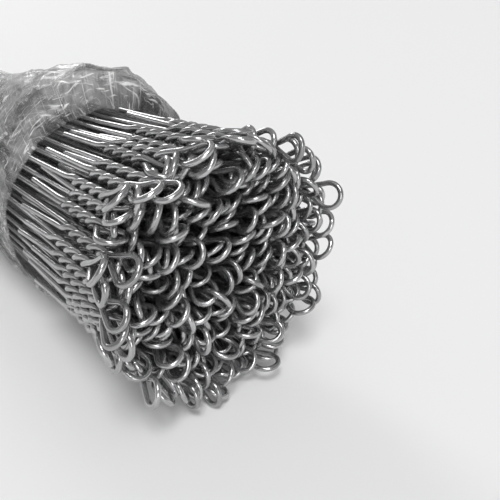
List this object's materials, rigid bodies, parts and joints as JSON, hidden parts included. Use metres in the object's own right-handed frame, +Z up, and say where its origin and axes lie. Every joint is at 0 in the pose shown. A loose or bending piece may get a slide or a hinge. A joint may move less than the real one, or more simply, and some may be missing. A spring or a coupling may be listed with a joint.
{
  "type": "baling wire bundle",
  "caption": "Bundle of straight steel bale ties, each with a twisted loop at one end, held in a sleeve of clear stretch film with the loops left bare.",
  "frame": {"origin": "on the floor under the middle of the bundle's length, on the film's flat underside", "axes": "+X along the bundle towards the loops, +Z up"},
  "size_m": [2.171, 0.1284, 0.1343],
  "materials": {
    "wire": "bright drawn",
    "film": "clear, wrinkled"
  },
  "bodies": {
    "root": {"core_ties": "wire", "inner_ties": "wire", "second_layer_ties": "wire", "outer_ties": "wire", "leading_ties": "wire", "film_wrap": "film"}
  },
  "joints": []
}
